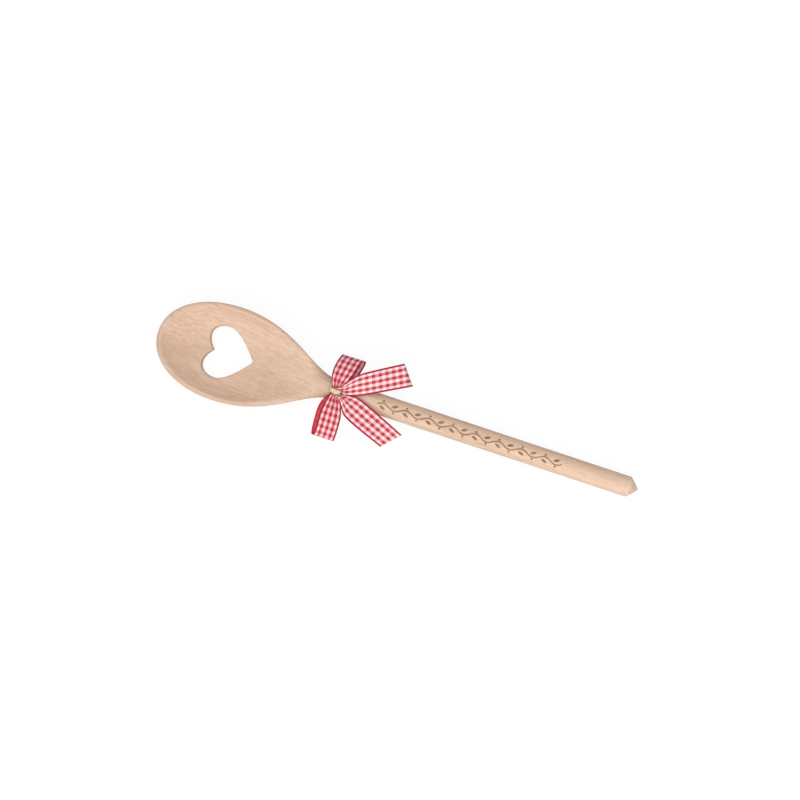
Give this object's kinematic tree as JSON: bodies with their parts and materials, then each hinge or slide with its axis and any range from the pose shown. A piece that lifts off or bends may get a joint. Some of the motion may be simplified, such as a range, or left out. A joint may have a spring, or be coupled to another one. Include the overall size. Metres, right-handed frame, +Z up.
{
  "type": "wooden cooking spoon",
  "caption": "Beech cooking spoon with a round handle, a shallow oval bowl with a heart cut through it, and a checked ribbon bow wired round its neck.",
  "frame": {"origin": "centre of the footprint, on the table", "axes": "+X from the bowl's tip to the handle's end, +Z up out of the bowl's hollow side"},
  "size_m": [0.2999, 0.0574, 0.0236],
  "materials": {
    "beech": "sanded, unvarnished",
    "ribbon": "woven check",
    "gold_wire": "satin"
  },
  "bodies": {
    "spoon": {"spoon": "beech"},
    "bow": {"bow_loops": "ribbon", "bow_tails": "ribbon", "tie_wire": "gold_wire"}
  },
  "joints": [
    {"name": "bow_turn", "type": "hinge", "parent": "spoon", "child": "bow", "pos_m": [-0.039, 0, 0.00984], "axis": [0.9998, 0, -0.0196], "continuous": true}
  ]
}
